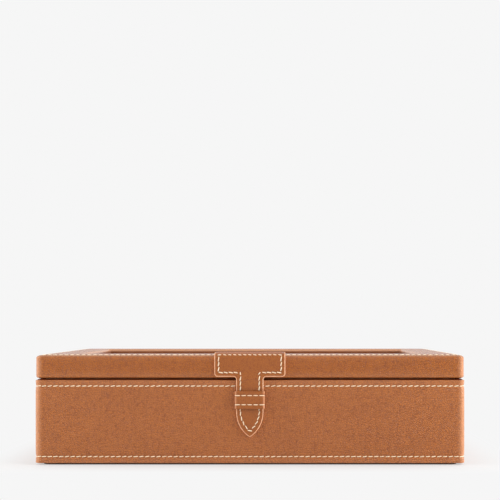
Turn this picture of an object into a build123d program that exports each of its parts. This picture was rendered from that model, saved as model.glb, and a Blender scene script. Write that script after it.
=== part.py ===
from build123d import *
import math
import os

# Leather watch box for ten watches: a padded case, a glazed lid on two stop hinges,
# a strap that tucks into a keeper, and ten loose pillows in a halved divider grid.
# Millimetres. The origin is the middle of the pad's underside, the front faces -Y, +Z is up.

# Outer sizes of case and lid
case_width = 330.0
case_depth = 203.0
base_height = 63.8
lid_height = 18.2
lid_gap = 1.6
lid_inset = 0.4
corner_radius = 4.0
lid_edge_radius = 2.8
cover_edge_bevel = 0.6

# Leather, boards and linings
leather = 1.0
board = 6.0
bottom_thickness = 4.0
leather_turn_in = 15.0
liner = 2.0
floor_lining_thickness = 2.0
pad_thickness = 1.4
pad_inset = 5.0
pad_corner_radius = 6.0

# Divider grid
bays_across = 5
divider_thickness = 3.0
divider_height = 51.6
divider_edge_radius = 1.2
divider_end_fit = 0.2
halving_fit = 0.1

# Watch pillows
pillow_side_room = 3.0
pillow_end_room = 4.5
pillow_height = 43.0
pillow_corner_radius = 13.0
pillow_crown = 4.0
pillow_end_taper = 0.2
pillow_end_drop = 0.3
pillow_rest_gap = 0.3

# Lid frame and glass
rail_width = 30.0
rail_thickness = 3.0
window_edge_bevel = 0.6
window_corner_radius = 1.5
glass_thickness = 2.0
glass_lap = 8.0
glass_fit = 0.2
bead_lip = 2.0
lid_seat_clearance = 0.3

# Hinges
hinge_length = 36.0
hinge_end_margin = 70.0
hinge_knuckles = 3
knuckle_gap = 0.2
barrel_radius = 1.8
barrel_clearance = 0.3
pin_radius = 0.6
pin_running_clearance = 0.05
leaf_play = 0.2
leaf_inner_margin = 0.5
heel_length = 2.4
heel_thickness = 0.8
heel_gap = 0.25
lid_opening = 95.0
heel_stop_clearance = 0.3
screw_radius = 1.0
screw_head_radius = 1.7
screw_length = 10.0
screw_spacing = 22.0

# Strap and keeper
strap_thickness = 1.8
strap_stand_off = 0.3
strap_width = 20.8
strap_edge_bevel = 0.4
strap_tip_z = 21.5
strap_tip_radius = 22.6
strap_bend_z = 64.6
strap_bend_gap = 0.3
tab_width = 54.3
tab_lap = 6.0
tab_rim_margin = 1.0
tab_corner_radius = 2.5
tab_neck_fillet = 2.5
keeper_leather = 1.2
keeper_height = 13.6
keeper_bottom_z = 43.3
keeper_side_play = 0.3
keeper_front_play = 1.6
keeper_corner_radius = 1.6
keeper_seat = 3.0

# Levels
base_bottom = pad_thickness
base_top = base_bottom + base_height
lid_bottom = base_top + lid_gap
lid_top = lid_bottom + lid_height
board_bottom = base_bottom + leather
board_top = base_top - leather
floor_top = board_bottom + bottom_thickness + floor_lining_thickness
liner_top = lid_bottom - lid_seat_clearance
rail_top = lid_top - leather
rail_bottom = rail_top - rail_thickness
glass_bottom = rail_bottom - glass_thickness
bead_bottom = glass_bottom - bead_lip

# Plan sizes
wall = leather + board
inner_width = case_width - 2 * wall
inner_depth = case_depth - 2 * wall
tray_width = inner_width - 2 * liner
tray_depth = inner_depth - 2 * liner
lid_width = case_width - 2 * lid_inset
lid_depth = case_depth - 2 * lid_inset
lid_inner_width = lid_width - 2 * wall
lid_inner_depth = lid_depth - 2 * wall
window_width = lid_width - 2 * rail_width
window_depth = lid_depth - 2 * rail_width
front_face = -case_depth / 2
rear_face = case_depth / 2
lid_front = -lid_depth / 2

# Bay layout
bay_width = (tray_width - (bays_across - 1) * divider_thickness) / bays_across
bay_depth = (tray_depth - divider_thickness) / 2
bay_pitch = bay_width + divider_thickness
divider_top = floor_top + divider_height
halving_level = floor_top + divider_height / 2
pillow_width = bay_width - 2 * pillow_side_room
pillow_length = bay_depth - 2 * pillow_end_room

# Hinge axis
hinge_x = case_width / 2 - hinge_end_margin
pin_y = rear_face + barrel_radius + barrel_clearance
pin_z = base_top + lid_gap / 2
leaf_thickness = (lid_gap - leaf_play) / 2
leaf_front = inner_depth / 2 + leaf_inner_margin
screw_y = (leaf_front + rear_face) / 2

# Strap planes
tail_back = front_face - strap_stand_off
tail_front = tail_back - strap_thickness
tail_middle = (tail_back + tail_front) / 2
keeper_inner_width = strap_width + 2 * keeper_side_play
keeper_outer_width = keeper_inner_width + 2 * keeper_leather
keeper_inner_front = tail_front - keeper_front_play
keeper_outer_front = keeper_inner_front - keeper_leather
keeper_top_z = keeper_bottom_z + keeper_height

EVERYWHERE = 2 * (case_width + case_depth)


def block(x0, x1, y0, y1, z0, z1):
    """A box between two corners."""
    middle = Pos((x0 + x1) / 2, (y0 + y1) / 2, (z0 + z1) / 2)
    return middle * Box(abs(x1 - x0), abs(y1 - y0), abs(z1 - z0))


def centred_block(width, depth, z0, z1):
    """A box centred on the origin in plan."""
    return block(-width / 2, width / 2, -depth / 2, depth / 2, z0, z1)


def rounded_block(width, depth, z0, z1, radius):
    """A box centred on the origin in plan, with its upright corners rounded."""
    return Pos(0, 0, z0) * extrude(RectangleRounded(width, depth, radius), z1 - z0)


def rod(radius, x0, x1, y, z):
    """A round bar along X."""
    return Pos((x0 + x1) / 2, y, z) * Rot(0, 90, 0) * Cylinder(radius, x1 - x0)


def edges_at(shape, z):
    """The edges that lie flat at one height."""
    return [edge for edge in shape.edges() if abs(edge.bounding_box().max.Z - z) < 0.001
            and abs(edge.bounding_box().min.Z - z) < 0.001]


def four_walls(ring, width, depth):
    """Cuts a ring of wall into front and rear pieces and the side pieces between them."""
    front = ring & block(-EVERYWHERE, EVERYWHERE, -EVERYWHERE, -depth / 2, -EVERYWHERE, EVERYWHERE)
    rear = ring & block(-EVERYWHERE, EVERYWHERE, depth / 2, EVERYWHERE, -EVERYWHERE, EVERYWHERE)
    left = ring & block(-EVERYWHERE, -width / 2, -depth / 2, depth / 2, -EVERYWHERE, EVERYWHERE)
    right = ring & block(width / 2, EVERYWHERE, -depth / 2, depth / 2, -EVERYWHERE, EVERYWHERE)
    return {"front": front, "rear": rear, "left": left, "right": right}


def four_mitred(ring, width, depth, mitre):
    """Cuts a ring into four pieces with 45 degree mitres at its corners."""
    x, y = width / 2, depth / 2
    long_side = Polyline((-x, -y), (x, -y), (x - mitre, mitre - y), (mitre - x, mitre - y), close=True)
    short_side = Polyline((-x, -y), (mitre - x, mitre - y), (mitre - x, y - mitre), (-x, y), close=True)
    front_mask = extrude(make_face(long_side), EVERYWHERE, both=True)
    left_mask = extrude(make_face(short_side), EVERYWHERE, both=True)
    return {"front": ring & front_mask, "rear": ring & (Rot(0, 0, 180) * front_mask),
            "left": ring & left_mask, "right": ring & (Rot(0, 0, 180) * left_mask)}


def one_solid(shape):
    """The single solid of a shape, or the shape itself where it holds several."""
    solids = shape.solids()
    return solids[0] if len(solids) == 1 else Compound(children=list(solids))


def screw_places():
    """The X places of all the screws in one row of both hinges."""
    return [side * hinge_x + half * screw_spacing / 2 for side in (-1, 1) for half in (-1, 1)]


def screw(x, face_z, direction):
    """A countersunk screw whose head is flush with a leaf at face_z and points along direction."""
    head = Cone(screw_radius, screw_head_radius, leaf_thickness, align=(Align.CENTER, Align.CENTER, Align.MAX))
    body = head + Cylinder(screw_radius, screw_length, align=(Align.CENTER, Align.CENTER, Align.MAX))
    if direction < 0:
        return Pos(x, screw_y, face_z) * body
    return Pos(x, screw_y, face_z) * Rot(180, 0, 0) * body


def base_screws():
    return [screw(x, base_top + leaf_thickness, -1) for x in screw_places()]


def lid_screws():
    return [screw(x, lid_bottom - leaf_thickness, 1) for x in screw_places()]


def keeper_profile(outer_front, corner):
    """Plan of the keeper's outside, from its rounded front to its ends let into the board."""
    half = keeper_outer_width / 2
    back = front_face + leather + keeper_seat
    plan = make_face(Polyline((-half, outer_front), (half, outer_front), (half, back), (-half, back), close=True))
    front_corners = plan.vertices().sort_by(Axis.Y)[:2]
    return fillet(front_corners, corner)


def strap_keeper():
    """A leather loop whose two ends pass through slits in the cover and into slots of the board."""
    loop = Pos(0, 0, keeper_bottom_z) * extrude(keeper_profile(keeper_outer_front, keeper_corner_radius), keeper_height)
    half = keeper_inner_width / 2
    back = front_face + leather + keeper_seat
    passage = block(-half, half, keeper_inner_front, back, keeper_bottom_z, keeper_top_z)
    passage = fillet(passage.edges().filter_by(Axis.Z).sort_by(Axis.Y)[:2], keeper_corner_radius / 2)
    return loop - passage


def keeper_slots():
    """The two slits and slots that take the keeper's ends."""
    outer, inner = keeper_outer_width / 2, keeper_inner_width / 2
    back = front_face + leather + keeper_seat
    slot = block(inner, outer, front_face, back, keeper_bottom_z, keeper_top_z)
    return slot + mirror(slot, Plane.YZ)


def base_shell():
    """Everything inside the base's leather, as one block with the boards' rounded corners."""
    return rounded_block(case_width - 2 * leather, case_depth - 2 * leather, board_bottom, board_top,
                         corner_radius - leather)


def base_cover():
    """Leather over the outside of the base, turned over its rim and under its bottom."""
    skin = rounded_block(case_width, case_depth, base_bottom, base_top, corner_radius)
    skin = chamfer(edges_at(skin, base_top) + edges_at(skin, base_bottom), cover_edge_bevel)
    skin -= base_shell()
    skin -= centred_block(inner_width, inner_depth, board_top, base_top)
    under_width = case_width - 2 * leather_turn_in
    under_depth = case_depth - 2 * leather_turn_in
    skin -= centred_block(under_width, under_depth, base_bottom, board_bottom)
    skin -= keeper_slots()
    for fastener in base_screws():
        skin -= fastener
    return skin


def base_boards():
    """Front, rear and side boards of the base, butted at the corners."""
    ring = base_shell() - centred_block(inner_width, inner_depth, board_bottom, board_top)
    boards = four_walls(ring, inner_width, inner_depth)
    boards["front"] -= keeper_slots()
    for fastener in base_screws():
        boards["rear"] -= fastener
    return boards


def base_liners():
    """Covered cards inside the base, standing proud of its rim as the seat of the lid."""
    low = board_bottom + bottom_thickness
    ring = centred_block(inner_width, inner_depth, low, liner_top) - centred_block(tray_width, tray_depth, low, liner_top)
    return four_walls(ring, tray_width, tray_depth)


def long_edges(shape, z, shortest):
    """The edges at one height that are longer than a given length."""
    return [edge for edge in edges_at(shape, z) if edge.length > shortest]


def divider(width, depth):
    """A covered card on the floor lining, with its two long top edges rounded."""
    plate = centred_block(width, depth, floor_top, divider_top)
    return fillet(long_edges(plate, divider_top, 2 * divider_thickness), divider_edge_radius)


def cross_places():
    """The X places of the cross dividers."""
    return [(index - (bays_across - 2) / 2) * bay_pitch for index in range(bays_across - 1)]


def long_divider():
    """The divider along the box, halved from above for the cross dividers."""
    plate = divider(tray_width - 2 * divider_end_fit, divider_thickness)
    half_slot = divider_thickness / 2 + halving_fit
    for x in cross_places():
        plate -= block(x - half_slot, x + half_slot, -divider_thickness, divider_thickness,
                       halving_level, divider_top)
    return plate


def cross_divider(x):
    """A divider from front to rear, halved from below to sit over the long one."""
    plate = divider(divider_thickness, tray_depth - 2 * divider_end_fit)
    half_slot = divider_thickness / 2 + halving_fit
    plate -= block(-divider_thickness, divider_thickness, -half_slot, half_slot, floor_top, halving_level)
    return Pos(x, 0, 0) * plate


def pillow_section(x, length, height, corner):
    """Section of a pillow across the box: four crowned sides with rounded corners."""
    a, b, c = length / 2, height / 2, pillow_crown
    low_front, low_rear, high_front, high_rear = (c - a, c - b), (a - c, c - b), (c - a, b - c), (a - c, b - c)
    outline = [ThreePointArc(low_front, (0, -b), low_rear), ThreePointArc(low_rear, (a, 0), high_rear),
               ThreePointArc(high_rear, (0, b), high_front), ThreePointArc(high_front, (-a, 0), low_front)]
    face = make_face(outline)
    return Plane.YZ.offset(x) * fillet(face.vertices(), corner)


def watch_pillow():
    """A crowned pillow whose ends draw in, resting in the middle of its bay."""
    end_length = pillow_length * (1 - pillow_end_taper)
    end_height = pillow_height * (1 - pillow_end_drop)
    end_corner = pillow_corner_radius * (1 - pillow_end_drop)
    middle = pillow_section(0, pillow_length, pillow_height, pillow_corner_radius)
    ends = [pillow_section(side * pillow_width / 2, end_length, end_height, end_corner) for side in (-1, 1)]
    middle_z = floor_top + pillow_rest_gap + pillow_height / 2
    return Pos(0, 0, middle_z) * loft([ends[0], middle, ends[1]])


def bay_centres():
    """The middle of each bay, front row first, from left to right."""
    row_y = (bay_depth + divider_thickness) / 2
    return [((index - (bays_across - 1) / 2) * bay_pitch, side * row_y)
            for side in (-1, 1) for index in range(bays_across)]


def lid_shell():
    """Everything inside the lid's leather, bevelled on top so that the leather keeps its thickness."""
    shell = rounded_block(lid_width - 2 * leather, lid_depth - 2 * leather, lid_bottom + leather, rail_top,
                          corner_radius - leather)
    return chamfer(edges_at(shell, rail_top), (lid_edge_radius - leather) * (2 - math.sqrt(2)))


def window(z0, z1, margin):
    """The opening over the glass, larger than the finished window by a margin all round."""
    return rounded_block(window_width + 2 * margin, window_depth + 2 * margin, z0, z1,
                         window_corner_radius + margin)


def lid_cover():
    """Leather over the lid, turned down into the window and in under the rim."""
    skin = rounded_block(lid_width, lid_depth, lid_bottom, lid_top, corner_radius)
    skin = fillet(edges_at(skin, lid_top), lid_edge_radius)
    skin = chamfer(edges_at(skin, lid_bottom), cover_edge_bevel)
    skin -= lid_shell()
    skin += window(rail_bottom, lid_top, leather)
    skin -= window(lid_bottom, lid_top, 0)
    skin = chamfer(edges_at(skin, lid_top), window_edge_bevel)
    skin -= centred_block(lid_inner_width, lid_inner_depth, lid_bottom, lid_bottom + leather)
    for fastener in lid_screws():
        skin -= fastener
    return skin


def lid_boards():
    """The lid's upright boards and, over them, the four mitred rails round the window."""
    shell = lid_shell()
    above = centred_block(lid_width, lid_depth, rail_bottom, rail_top)
    ring = shell - above - centred_block(lid_inner_width, lid_inner_depth, lid_bottom, rail_top)
    skirts = four_walls(ring, lid_inner_width, lid_inner_depth)
    for fastener in lid_screws():
        skirts["rear"] -= fastener
    frame = (shell & above) - window(rail_bottom, rail_top, leather)
    rails = four_mitred(frame, lid_width, lid_depth, rail_width + leather + window_corner_radius)
    return skirts, rails


def lid_liners():
    """Covered cards inside the lid, which come down on the liners of the base."""
    opening_width = lid_inner_width - 2 * liner
    opening_depth = lid_inner_depth - 2 * liner
    ring = centred_block(lid_inner_width, lid_inner_depth, lid_bottom, bead_bottom)
    ring -= centred_block(opening_width, opening_depth, lid_bottom, bead_bottom)
    return four_walls(ring, opening_width, opening_depth)


def glass_pane():
    """Clear glass under the rails."""
    margin = glass_lap - glass_fit
    pane = rounded_block(window_width + 2 * margin, window_depth + 2 * margin, glass_bottom, rail_bottom,
                         window_corner_radius)
    return pane


def glass_beads():
    """Four mitred, rebated beads that hold the glass up against the rails."""
    ring = centred_block(lid_inner_width, lid_inner_depth, bead_bottom, rail_bottom)
    ring -= centred_block(window_width + 2 * leather, window_depth + 2 * leather, bead_bottom, rail_bottom)
    ring -= centred_block(window_width + 2 * glass_lap, window_depth + 2 * glass_lap, glass_bottom, rail_bottom)
    return four_mitred(ring, lid_inner_width, lid_inner_depth, rail_width)


def knuckle_spans(own):
    """The X spans of the knuckles of one leaf: even ones are the base's, odd ones the lid's."""
    pitch = hinge_length / hinge_knuckles
    return [(index * pitch - hinge_length / 2, (index + 1) * pitch - hinge_length / 2)
            for index in range(hinge_knuckles) if index % 2 == own]


def heel_angle():
    """Angle of each heel behind the barrel, so that the two meet when the lid is fully open."""
    inner = barrel_radius + heel_gap
    spread = 2 * math.asin((heel_thickness + heel_stop_clearance) / (2 * inner))
    return (lid_opening + math.degrees(spread)) / 2


def heel(spans, sign):
    """The stop of one leaf: a strip along the whole barrel, carried by the leaf's own knuckles."""
    inner = barrel_radius + heel_gap
    half_length = hinge_length / 2
    half = heel_thickness / 2
    strip = block(-half_length, half_length, inner, inner + heel_length, -half, half)
    for x0, x1 in spans:
        strip += block(x0 + knuckle_gap / 2, x1 - knuckle_gap / 2, 0, inner, -half, half)
    return Pos(0, pin_y, pin_z) * Rot(sign * heel_angle(), 0, 0) * strip


def hinge_leaf(own):
    """A stop hinge's leaf about x = 0: flat plate, rolled knuckles, heel and screw holes."""
    sign = -1 if own == 0 else 1
    face = pin_z + sign * lid_gap / 2
    half_length = hinge_length / 2
    leaf = block(-half_length, half_length, leaf_front, pin_y, face, face - sign * leaf_thickness)
    for x0, x1 in knuckle_spans(1 - own):
        notch = pin_y - barrel_radius - heel_gap
        leaf -= block(x0 - knuckle_gap / 2, x1 + knuckle_gap / 2, notch, pin_y, base_top, lid_bottom)
    for x0, x1 in knuckle_spans(own):
        leaf += rod(barrel_radius, x0 + knuckle_gap / 2, x1 - knuckle_gap / 2, pin_y, pin_z)
    leaf += heel(knuckle_spans(own), sign)
    bore = pin_radius if own == 0 else pin_radius + pin_running_clearance
    leaf -= rod(bore, -hinge_length, hinge_length, pin_y, pin_z)
    return leaf


def hinge(side):
    """Base leaf, lid leaf and pin of the hinge on one side."""
    x = side * hinge_x
    base_leaf = Pos(x, 0, 0) * hinge_leaf(0)
    lid_leaf = Pos(x, 0, 0) * hinge_leaf(1)
    for fastener in base_screws():
        base_leaf -= fastener
    for fastener in lid_screws():
        lid_leaf -= fastener
    pin = rod(pin_radius, x - hinge_length / 2, x + hinge_length / 2, pin_y, pin_z)
    return base_leaf, lid_leaf, pin


def tab_outline():
    """Front view of the strap's T: a bar on the lid and a neck below it."""
    bar_bottom = lid_bottom + tab_rim_margin
    bar_top = lid_top + strap_thickness
    neck_bottom = strap_bend_z + strap_thickness / 2 + strap_bend_gap
    half_bar, half_neck = tab_width / 2, strap_width / 2
    points = [(-half_neck, neck_bottom), (half_neck, neck_bottom), (half_neck, bar_bottom),
              (half_bar, bar_bottom), (half_bar, bar_top), (-half_bar, bar_top),
              (-half_bar, bar_bottom), (-half_neck, bar_bottom)]
    face = make_face(Polyline(*points, close=True))
    ends = [v for v in face.vertices() if abs(abs(v.X) - half_bar) < 0.001 and abs(v.Y - bar_bottom) < 0.001]
    face = fillet(ends, tab_corner_radius)
    inner = [v for v in face.vertices() if abs(abs(v.X) - half_neck) < 0.001 and abs(v.Y - bar_bottom) < 0.001]
    return Plane.XZ * fillet(inner, min(tab_neck_fillet, bar_bottom - neck_bottom - 0.3))


def strap_tab():
    """The part of the strap stitched to the lid: it laps over the top edge and ends above the base's rim."""
    half = tab_width / 2
    below = strap_bend_z
    over = block(-half, half, lid_front - strap_thickness, lid_front + tab_lap, below, lid_top + strap_thickness)
    front_edge = [edge for edge in long_edges(over, lid_top + strap_thickness, strap_width)
                  if edge.center().Y < lid_front]
    over = fillet(front_edge, lid_edge_radius + strap_thickness)
    lid_block = block(-half, half, lid_front, lid_front + 2 * tab_lap, below, lid_top)
    lid_edge = [edge for edge in long_edges(lid_block, lid_top, strap_width)
                if abs(edge.center().Y - lid_front) < 0.001]
    over -= fillet(lid_edge, lid_edge_radius)
    over -= block(-half, half, lid_front - 2 * strap_thickness, lid_front, below, lid_bottom + cover_edge_bevel)
    end_z = strap_bend_z + strap_thickness / 2 + strap_bend_gap
    shoulder = lid_bottom + strap_thickness + cover_edge_bevel
    neck = Polyline((lid_front, shoulder), (lid_front, lid_bottom + cover_edge_bevel), (tail_back, end_z),
                    (tail_front, end_z), (lid_front - strap_thickness, shoulder), close=True)
    over += extrude(Plane.YZ * make_face(neck), half, both=True)
    return over & extrude(tab_outline(), case_depth, both=True)


def tail_outline():
    """Front view of the strap's tail: straight sides and a pointed arch at the tip."""
    half = strap_width / 2
    centre_x = strap_tip_radius - half
    arch_height = math.sqrt(strap_tip_radius ** 2 - centre_x ** 2)
    spring_z = strap_tip_z + arch_height
    half_angle = math.asin(arch_height / strap_tip_radius) / 2
    middle = (strap_tip_radius * math.cos(half_angle) - centre_x, spring_z - strap_tip_radius * math.sin(half_angle))
    right = ThreePointArc((half, spring_z), middle, (0, strap_tip_z))
    left = ThreePointArc((0, strap_tip_z), (-middle[0], middle[1]), (-half, spring_z))
    sides = Polyline((-half, spring_z), (-half, strap_bend_z), (half, strap_bend_z), (half, spring_z))
    return Plane.XZ.offset(-tail_back) * make_face([right, left, sides])


def strap_tail():
    """The free end of the strap, from its bend above the base's rim down through the keeper."""
    tail = extrude(tail_outline(), strap_thickness)
    outer_edges = [edge for edge in tail.edges() if abs(edge.center().Y - tail_front) < 0.001
                   and edge.center().Z < strap_bend_z - 0.001]
    tail = chamfer(outer_edges, strap_edge_bevel)
    half = strap_width / 2 - strap_edge_bevel
    return tail + rod(strap_thickness / 2, -half, half, tail_middle, strap_bend_z)


def base_pad():
    """Felt under the bottom, on which the box stands."""
    return rounded_block(case_width - 2 * pad_inset, case_depth - 2 * pad_inset, 0, pad_thickness,
                         pad_corner_radius)


def make_parts():
    """Every piece of the box by its node's name."""
    parts = {"base_pad": base_pad(), "base_cover": base_cover(), "strap_keeper": strap_keeper(),
             "bottom_board": centred_block(inner_width, inner_depth, board_bottom, board_bottom + bottom_thickness),
             "floor_lining": centred_block(tray_width, tray_depth, board_bottom + bottom_thickness, floor_top),
             "long_divider": long_divider(), "lid_cover": lid_cover(), "glass_pane": glass_pane(),
             "strap_tab": strap_tab(), "strap_tail": strap_tail()}
    skirts, rails = lid_boards()
    sided = {"base_board": base_boards(), "base_liner": base_liners(), "lid_board": skirts, "lid_rail": rails,
             "lid_liner": lid_liners(), "glass_bead": glass_beads()}
    for family, pieces in sided.items():
        for place, piece in pieces.items():
            parts[f"{family}_{place}"] = piece
    for index, x in enumerate(cross_places(), start=1):
        parts[f"cross_divider_{index}"] = cross_divider(x)
    pillow = watch_pillow()
    for index, (x, y) in enumerate(bay_centres(), start=1):
        parts[f"watch_pillow_{index}"] = Pos(x, y, 0) * pillow
    for side, place in ((-1, "left"), (1, "right")):
        base_leaf, lid_leaf, pin = hinge(side)
        parts[f"hinge_base_leaf_{place}"] = base_leaf
        parts[f"hinge_lid_leaf_{place}"] = lid_leaf
        parts[f"hinge_pin_{place}"] = pin
    parts["base_hinge_screws"] = Compound(children=[one_solid(item) for item in base_screws()])
    parts["lid_hinge_screws"] = Compound(children=[one_solid(item) for item in lid_screws()])
    return parts


os.makedirs("parts", exist_ok=True)
for node, shape in make_parts().items():
    export_step(one_solid(shape), f"parts/{node}.step")
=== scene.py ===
import math

import bmesh
import bpy
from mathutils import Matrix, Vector, noise


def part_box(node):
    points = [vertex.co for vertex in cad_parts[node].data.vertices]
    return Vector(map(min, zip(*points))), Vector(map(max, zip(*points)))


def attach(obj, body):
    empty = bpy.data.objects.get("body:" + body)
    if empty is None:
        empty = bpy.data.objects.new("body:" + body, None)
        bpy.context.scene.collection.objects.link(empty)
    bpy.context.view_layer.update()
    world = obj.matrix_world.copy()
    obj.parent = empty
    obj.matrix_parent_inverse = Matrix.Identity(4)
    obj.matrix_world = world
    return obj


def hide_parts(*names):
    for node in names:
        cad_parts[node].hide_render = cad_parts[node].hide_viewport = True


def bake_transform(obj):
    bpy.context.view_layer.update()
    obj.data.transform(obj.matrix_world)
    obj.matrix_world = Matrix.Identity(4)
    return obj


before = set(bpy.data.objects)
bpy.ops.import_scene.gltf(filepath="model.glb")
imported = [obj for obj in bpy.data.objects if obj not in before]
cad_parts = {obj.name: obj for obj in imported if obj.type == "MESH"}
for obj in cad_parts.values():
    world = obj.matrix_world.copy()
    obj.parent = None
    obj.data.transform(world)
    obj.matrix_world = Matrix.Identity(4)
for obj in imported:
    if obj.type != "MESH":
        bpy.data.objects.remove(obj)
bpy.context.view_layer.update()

# Lengths are in metres; mm turns a size in millimetres into one
mm = 0.001

# Places read from the construction
base_low, base_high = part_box("base_cover")
lid_low, lid_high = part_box("lid_cover")
tab_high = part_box("strap_tab")[1]
tail_low, tail_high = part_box("strap_tail")
keeper_low, keeper_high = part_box("strap_keeper")
glass_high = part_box("glass_pane")[1]

# Leather covers: the rims are turned in, the lid's edge is padded, and the window's edge is rolled
leather = 1.0 * mm
skin_depth = 1.6 * mm
corner_radius = 4.0 * mm
inner_corner = 1.5 * mm
rim_edge = 0.8 * mm
bottom_edge = 0.7 * mm
lid_roll = 1.3 * mm
pad_reach = 7.0 * mm
pad_drop = 2.8 * mm
rim_width = 7.0 * mm
rim_step = 1.9 * mm
rim_lift = 0.5 * mm
rim_drop = 0.55 * mm
turn_in = 15.0 * mm
window_margin = 30.0 * mm
window_edge = 2.6 * mm
rail_crown = 0.2 * mm
slack = 0.08 * mm
slack_size = 45 * mm
finest_band = 0.3 * mm
band_growth = 0.3

# Stitches, and how far they draw the leather in: broadly, and in a groove right at the thread.
# Root and crest are the heights of a stitch's ends and middle in thread radii; slants are in degrees
stitch_pitch = 4.4 * mm
stitch_length = 3.9 * mm
thread_radius = 0.4 * mm
thread_sides = 7
stitch_segments = 6
stitch_root = -1.2
stitch_crest = 1.5
stitch_slant = 9.0
stitch_shake = 0.06
upper_margin = 4.6 * mm
lower_margin = 5.1 * mm
lid_margin = 4.6 * mm
seam_draw = 0.2 * mm
seam_draw_reach = 3.0 * mm
seam_dip = 0.36 * mm
seam_dip_reach = 0.8 * mm
lid_seam_share = 0.7

# Where the leather's colour is paler at the box's edges, partly wear and partly painted highlight, paler as a
# painted highlight on the keeper's sides and the window's rolled edge, and darker as painted shade down in the
# window
corner_wear_and_highlight = 0.9
corner_wear_and_highlight_reach = 6.5 * mm
keeper_highlight_reach = 2.6 * mm
rim_wear = 0.15
window_highlight = 0.62
window_drop = 2.9 * mm

# Strap: its outline laid flat, its stitches, its step from the lid's front, and the heights of its bend
strap_thickness = 1.8 * mm
strap_margin = 3.2 * mm
ridge_margin = 5.7 * mm
paint_width = 0.62 * mm
bar_gap = 1.0 * mm
bar_corner = 2.5 * mm
neck_fillet = 2.3 * mm
tip_radius = 22.6 * mm
strap_pitch = 3.9 * mm
strap_stitch = 3.7 * mm
strap_slant = -12.0
row_corner = 1.0 * mm
row_rise = 1.1 * mm
strap_thread_radius = 0.42 * mm
strap_dip = 0.28 * mm
dip_reach = 0.7 * mm
strap_row_sink = 0.2 * mm
strap_bands = 120
step_above_rim = 4.0 * mm
step_length = 6.0 * mm

# Keeper: a loop of thin leather with its ends let into the base, sewn in two rows
keeper_leather = 0.8 * mm
keeper_narrower = 0.4 * mm
keeper_corner = 1.6 * mm
keeper_root = 3.0 * mm
keeper_rows = (53.6 * mm, 46.6 * mm)
keeper_stitch = 4.2 * mm
keeper_pitch = 4.55 * mm
keeper_dip = 0.5 * mm
keeper_edge = 0.35 * mm

# Pillows: the plain form, the cloth simulation that swells it, and what makes each one its own
pillow_count = 10
pillow_squareness = 4.5
pillow_shrink = 3.0 * mm
pillow_seam = 6.5 * mm
pillow_voxel = 5.0 * mm
pillow_swell = 6.0 * mm
pillow_frames = 20
pillow_pressure = 4.0
groove_depth = 1.3 * mm
groove_reach = 1.1 * mm
pucker_depth = 0.5 * mm
pucker_reach = 4.0 * mm
pucker_waves = 23
uneven_depth = 0.7 * mm
uneven_size = 18 * mm

# Camera, from the lines of the photograph in its 500 by 500 frame: its level axis meets the axis pixel
picture = 500
focal_pixels = 1070
camera_distance = 820 * mm
camera_right = 22.7 * mm
camera_height = 108 * mm
axis_x_pixel = 279.5
axis_y_pixel = 324.2
sensor = 36

# Studio: the paper's tones, light levels by direction, each over a reach of cosines, and two square
# lamps in metres and watts
paper = 246
floor_size = 12.0
floor_tone = 0.79
bounce_tone = 0.8
front_level = 0.46
back_level = 1.15
behind_reach = (-0.7, 0.3)
top_share = 0.25
top_reach = (0.15, 0.8)
side_level = 0.5
side_direction = (0.85, -0.28, 0.45)
side_reach = (0.62, 0.98)
shadow_reach = 48 * mm
shadow_share = 0.5
softbox_size = 0.9
softbox_aim = (0, -0.05, 0.04)
right_softbox = (1.05, -0.42, 0.42)
right_power = 8.5
left_softbox = (-1.05, -0.4, 0.42)
left_power = 6.0


class Socket:
    """A socket in a node tree: arithmetic on it adds Math nodes."""

    def __init__(self, finish, link):
        self.finish = finish
        self.link = link

    def maths(self, operation, first, second=0.0):
        return self.finish.add("ShaderNodeMath", {"operation": operation}, {0: first, 1: second})

    def __add__(self, other):
        return self.maths("ADD", self, other)

    def __radd__(self, other):
        return self.maths("ADD", other, self)

    def __sub__(self, other):
        return self.maths("SUBTRACT", self, other)

    def __rsub__(self, other):
        return self.maths("SUBTRACT", other, self)

    def __mul__(self, other):
        return self.maths("MULTIPLY", self, other)

    def __abs__(self):
        return self.maths("ABSOLUTE", self)

    def least(self, other):
        return self.maths("MINIMUM", self, other)

    def most(self, other):
        return self.maths("MAXIMUM", self, other)

    def step(self, low, high):
        """0 below low, 1 above high, and smooth between them."""
        return self.finish.add("ShaderNodeMapRange", {"interpolation_type": "SMOOTHSTEP"},
                               {"Value": self, "From Min": low, "From Max": high})


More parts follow.
